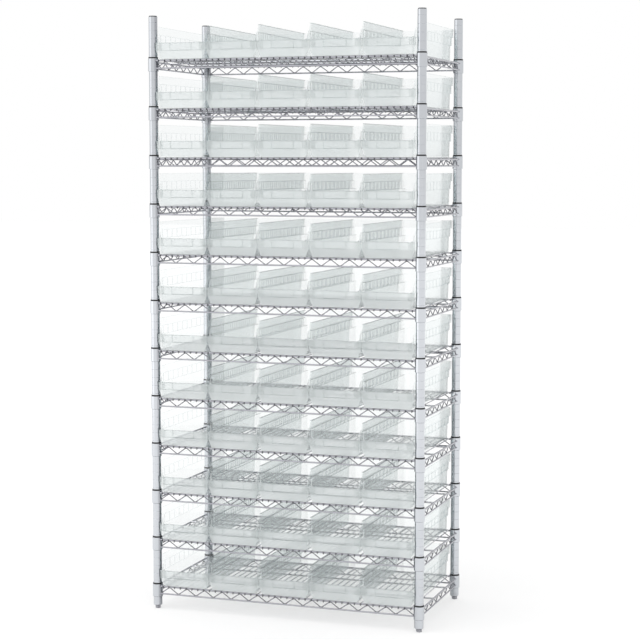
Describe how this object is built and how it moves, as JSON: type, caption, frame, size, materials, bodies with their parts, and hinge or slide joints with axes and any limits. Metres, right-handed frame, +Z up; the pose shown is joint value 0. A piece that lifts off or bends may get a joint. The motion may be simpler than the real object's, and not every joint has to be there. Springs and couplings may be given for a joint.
{
  "type": "wire bin shelving unit",
  "caption": "Free-standing chrome wire shelving on grooved posts with levelling feet; each shelf carries a row of clear open-front plastic bins that slide out.",
  "frame": {"origin": "on the floor, under the middle of the unit", "axes": "+Z up, -Y is the front from which the bins are used, +X to the right seen from the front"},
  "size_m": [0.9078, 0.4568, 1.8884],
  "materials": {
    "chrome": "bright plated",
    "zinc_steel": "zinc plated",
    "sleeve_plastic": "moulded, matt black",
    "cap_plastic": "moulded, matt dark grey",
    "clear_plastic": "clear, glossy"
  },
  "bodies": {
    "stand": {"post_front_left": "chrome", "post_front_right": "chrome", "post_rear_left": "chrome", "post_rear_right": "chrome", "post_caps": "cap_plastic", "foot_sockets": "zinc_steel", "split_sleeves_low": "sleeve_plastic", "split_sleeves_high": "sleeve_plastic", "wire_shelf_01": "chrome", "wire_shelf_02": "chrome", "wire_shelf_03": "chrome", "wire_shelf_04": "chrome", "wire_shelf_05": "chrome", "wire_shelf_06": "chrome", "wire_shelf_07": "chrome", "wire_shelf_08": "chrome", "wire_shelf_09": "chrome", "wire_shelf_10": "chrome", "wire_shelf_11": "chrome", "wire_shelf_12": "chrome"},
    "levelling_foot_front_left": {"levelling_foot_front_left": "zinc_steel"},
    "levelling_foot_front_right": {"levelling_foot_front_right": "zinc_steel"},
    "levelling_foot_rear_left": {"levelling_foot_rear_left": "zinc_steel"},
    "levelling_foot_rear_right": {"levelling_foot_rear_right": "zinc_steel"},
    "bins_row01": {"bins_row01": "clear_plastic"},
    "bins_row02": {"bins_row02": "clear_plastic"},
    "bins_row03": {"bins_row03": "clear_plastic"},
    "bin_row04_col1": {"bin_row04_col1": "clear_plastic"},
    "bin_row04_col2": {"bin_row04_col2": "clear_plastic"},
    "bin_row04_col3": {"bin_row04_col3": "clear_plastic"},
    "bin_row04_col4": {"bin_row04_col4": "clear_plastic"},
    "bin_row04_col5": {"bin_row04_col5": "clear_plastic"},
    "bin_row05_col1": {"bin_row05_col1": "clear_plastic"},
    "bin_row05_col2": {"bin_row05_col2": "clear_plastic"},
    "bin_row05_col3": {"bin_row05_col3": "clear_plastic"},
    "bin_row05_col4": {"bin_row05_col4": "clear_plastic"},
    "bin_row05_col5": {"bin_row05_col5": "clear_plastic"},
    "bin_row06_col1": {"bin_row06_col1": "clear_plastic"},
    "bin_row06_col2": {"bin_row06_col2": "clear_plastic"},
    "bin_row06_col3": {"bin_row06_col3": "clear_plastic"},
    "bin_row06_col4": {"bin_row06_col4": "clear_plastic"},
    "bin_row06_col5": {"bin_row06_col5": "clear_plastic"},
    "bin_row07_col1": {"bin_row07_col1": "clear_plastic"},
    "bin_row07_col2": {"bin_row07_col2": "clear_plastic"},
    "bin_row07_col3": {"bin_row07_col3": "clear_plastic"},
    "bin_row07_col4": {"bin_row07_col4": "clear_plastic"},
    "bin_row07_col5": {"bin_row07_col5": "clear_plastic"},
    "bin_row08_col1": {"bin_row08_col1": "clear_plastic"},
    "bin_row08_col2": {"bin_row08_col2": "clear_plastic"},
    "bin_row08_col3": {"bin_row08_col3": "clear_plastic"},
    "bin_row08_col4": {"bin_row08_col4": "clear_plastic"},
    "bin_row08_col5": {"bin_row08_col5": "clear_plastic"},
    "bin_row09_col1": {"bin_row09_col1": "clear_plastic"},
    "bin_row09_col2": {"bin_row09_col2": "clear_plastic"},
    "bin_row09_col3": {"bin_row09_col3": "clear_plastic"},
    "bin_row09_col4": {"bin_row09_col4": "clear_plastic"},
    "bin_row09_col5": {"bin_row09_col5": "clear_plastic"},
    "bins_row10": {"bins_row10": "clear_plastic"},
    "bins_row11": {"bins_row11": "clear_plastic"},
    "bins_row12": {"bins_row12": "clear_plastic"}
  },
  "joints": [
    {"name": "levelling_foot_front_left_turn", "type": "hinge", "parent": "stand", "child": "levelling_foot_front_left", "pos_m": [-0.43745, -0.21195, 0], "axis": [0, 0, 1], "range_deg": [0, 1440]},
    {"name": "levelling_foot_front_right_turn", "type": "hinge", "parent": "stand", "child": "levelling_foot_front_right", "pos_m": [0.43745, -0.21195, 0], "axis": [0, 0, 1], "range_deg": [0, 1440]},
    {"name": "levelling_foot_rear_left_turn", "type": "hinge", "parent": "stand", "child": "levelling_foot_rear_left", "pos_m": [-0.43745, 0.21195, 0], "axis": [0, 0, 1], "range_deg": [0, 1440]},
    {"name": "levelling_foot_rear_right_turn", "type": "hinge", "parent": "stand", "child": "levelling_foot_rear_right", "pos_m": [0.43745, 0.21195, 0], "axis": [0, 0, 1], "range_deg": [0, 1440]},
    {"name": "bins_row01_slide", "type": "slide", "parent": "stand", "child": "bins_row01", "axis": [0, -1, 0], "range_m": [0, 0.46]},
    {"name": "bins_row02_slide", "type": "slide", "parent": "stand", "child": "bins_row02", "axis": [0, -1, 0], "range_m": [0, 0.46]},
    {"name": "bins_row03_slide", "type": "slide", "parent": "stand", "child": "bins_row03", "axis": [0, -1, 0], "range_m": [0, 0.46]},
    {"name": "bin_row04_col1_slide", "type": "slide", "parent": "stand", "child": "bin_row04_col1", "axis": [0, -1, 0], "range_m": [0, 0.46]},
    {"name": "bin_row04_col2_slide", "type": "slide", "parent": "stand", "child": "bin_row04_col2", "axis": [0, -1, 0], "range_m": [0, 0.46]},
    {"name": "bin_row04_col3_slide", "type": "slide", "parent": "stand", "child": "bin_row04_col3", "axis": [0, -1, 0], "range_m": [0, 0.46]},
    {"name": "bin_row04_col4_slide", "type": "slide", "parent": "stand", "child": "bin_row04_col4", "axis": [0, -1, 0], "range_m": [0, 0.46]},
    {"name": "bin_row04_col5_slide", "type": "slide", "parent": "stand", "child": "bin_row04_col5", "axis": [0, -1, 0], "range_m": [0, 0.46]},
    {"name": "bin_row05_col1_slide", "type": "slide", "parent": "stand", "child": "bin_row05_col1", "axis": [0, -1, 0], "range_m": [0, 0.46]},
    {"name": "bin_row05_col2_slide", "type": "slide", "parent": "stand", "child": "bin_row05_col2", "axis": [0, -1, 0], "range_m": [0, 0.46]},
    {"name": "bin_row05_col3_slide", "type": "slide", "parent": "stand", "child": "bin_row05_col3", "axis": [0, -1, 0], "range_m": [0, 0.46]},
    {"name": "bin_row05_col4_slide", "type": "slide", "parent": "stand", "child": "bin_row05_col4", "axis": [0, -1, 0], "range_m": [0, 0.46]},
    {"name": "bin_row05_col5_slide", "type": "slide", "parent": "stand", "child": "bin_row05_col5", "axis": [0, -1, 0], "range_m": [0, 0.46]},
    {"name": "bin_row06_col1_slide", "type": "slide", "parent": "stand", "child": "bin_row06_col1", "axis": [0, -1, 0], "range_m": [0, 0.46]},
    {"name": "bin_row06_col2_slide", "type": "slide", "parent": "stand", "child": "bin_row06_col2", "axis": [0, -1, 0], "range_m": [0, 0.46]},
    {"name": "bin_row06_col3_slide", "type": "slide", "parent": "stand", "child": "bin_row06_col3", "axis": [0, -1, 0], "range_m": [0, 0.46]},
    {"name": "bin_row06_col4_slide", "type": "slide", "parent": "stand", "child": "bin_row06_col4", "axis": [0, -1, 0], "range_m": [0, 0.46]},
    {"name": "bin_row06_col5_slide", "type": "slide", "parent": "stand", "child": "bin_row06_col5", "axis": [0, -1, 0], "range_m": [0, 0.46]},
    {"name": "bin_row07_col1_slide", "type": "slide", "parent": "stand", "child": "bin_row07_col1", "axis": [0, -1, 0], "range_m": [0, 0.46]},
    {"name": "bin_row07_col2_slide", "type": "slide", "parent": "stand", "child": "bin_row07_col2", "axis": [0, -1, 0], "range_m": [0, 0.46]},
    {"name": "bin_row07_col3_slide", "type": "slide", "parent": "stand", "child": "bin_row07_col3", "axis": [0, -1, 0], "range_m": [0, 0.46]},
    {"name": "bin_row07_col4_slide", "type": "slide", "parent": "stand", "child": "bin_row07_col4", "axis": [0, -1, 0], "range_m": [0, 0.46]},
    {"name": "bin_row07_col5_slide", "type": "slide", "parent": "stand", "child": "bin_row07_col5", "axis": [0, -1, 0], "range_m": [0, 0.46]},
    {"name": "bin_row08_col1_slide", "type": "slide", "parent": "stand", "child": "bin_row08_col1", "axis": [0, -1, 0], "range_m": [0, 0.46]},
    {"name": "bin_row08_col2_slide", "type": "slide", "parent": "stand", "child": "bin_row08_col2", "axis": [0, -1, 0], "range_m": [0, 0.46]},
    {"name": "bin_row08_col3_slide", "type": "slide", "parent": "stand", "child": "bin_row08_col3", "axis": [0, -1, 0], "range_m": [0, 0.46]},
    {"name": "bin_row08_col4_slide", "type": "slide", "parent": "stand", "child": "bin_row08_col4", "axis": [0, -1, 0], "range_m": [0, 0.46]},
    {"name": "bin_row08_col5_slide", "type": "slide", "parent": "stand", "child": "bin_row08_col5", "axis": [0, -1, 0], "range_m": [0, 0.46]},
    {"name": "bin_row09_col1_slide", "type": "slide", "parent": "stand", "child": "bin_row09_col1", "axis": [0, -1, 0], "range_m": [0, 0.46]},
    {"name": "bin_row09_col2_slide", "type": "slide", "parent": "stand", "child": "bin_row09_col2", "axis": [0, -1, 0], "range_m": [0, 0.46]},
    {"name": "bin_row09_col3_slide", "type": "slide", "parent": "stand", "child": "bin_row09_col3", "axis": [0, -1, 0], "range_m": [0, 0.46]},
    {"name": "bin_row09_col4_slide", "type": "slide", "parent": "stand", "child": "bin_row09_col4", "axis": [0, -1, 0], "range_m": [0, 0.46]},
    {"name": "bin_row09_col5_slide", "type": "slide", "parent": "stand", "child": "bin_row09_col5", "axis": [0, -1, 0], "range_m": [0, 0.46]},
    {"name": "bins_row10_slide", "type": "slide", "parent": "stand", "child": "bins_row10", "axis": [0, -1, 0], "range_m": [0, 0.46]},
    {"name": "bins_row11_slide", "type": "slide", "parent": "stand", "child": "bins_row11", "axis": [0, -1, 0], "range_m": [0, 0.46]},
    {"name": "bins_row12_slide", "type": "slide", "parent": "stand", "child": "bins_row12", "axis": [0, -1, 0], "range_m": [0, 0.46]}
  ]
}
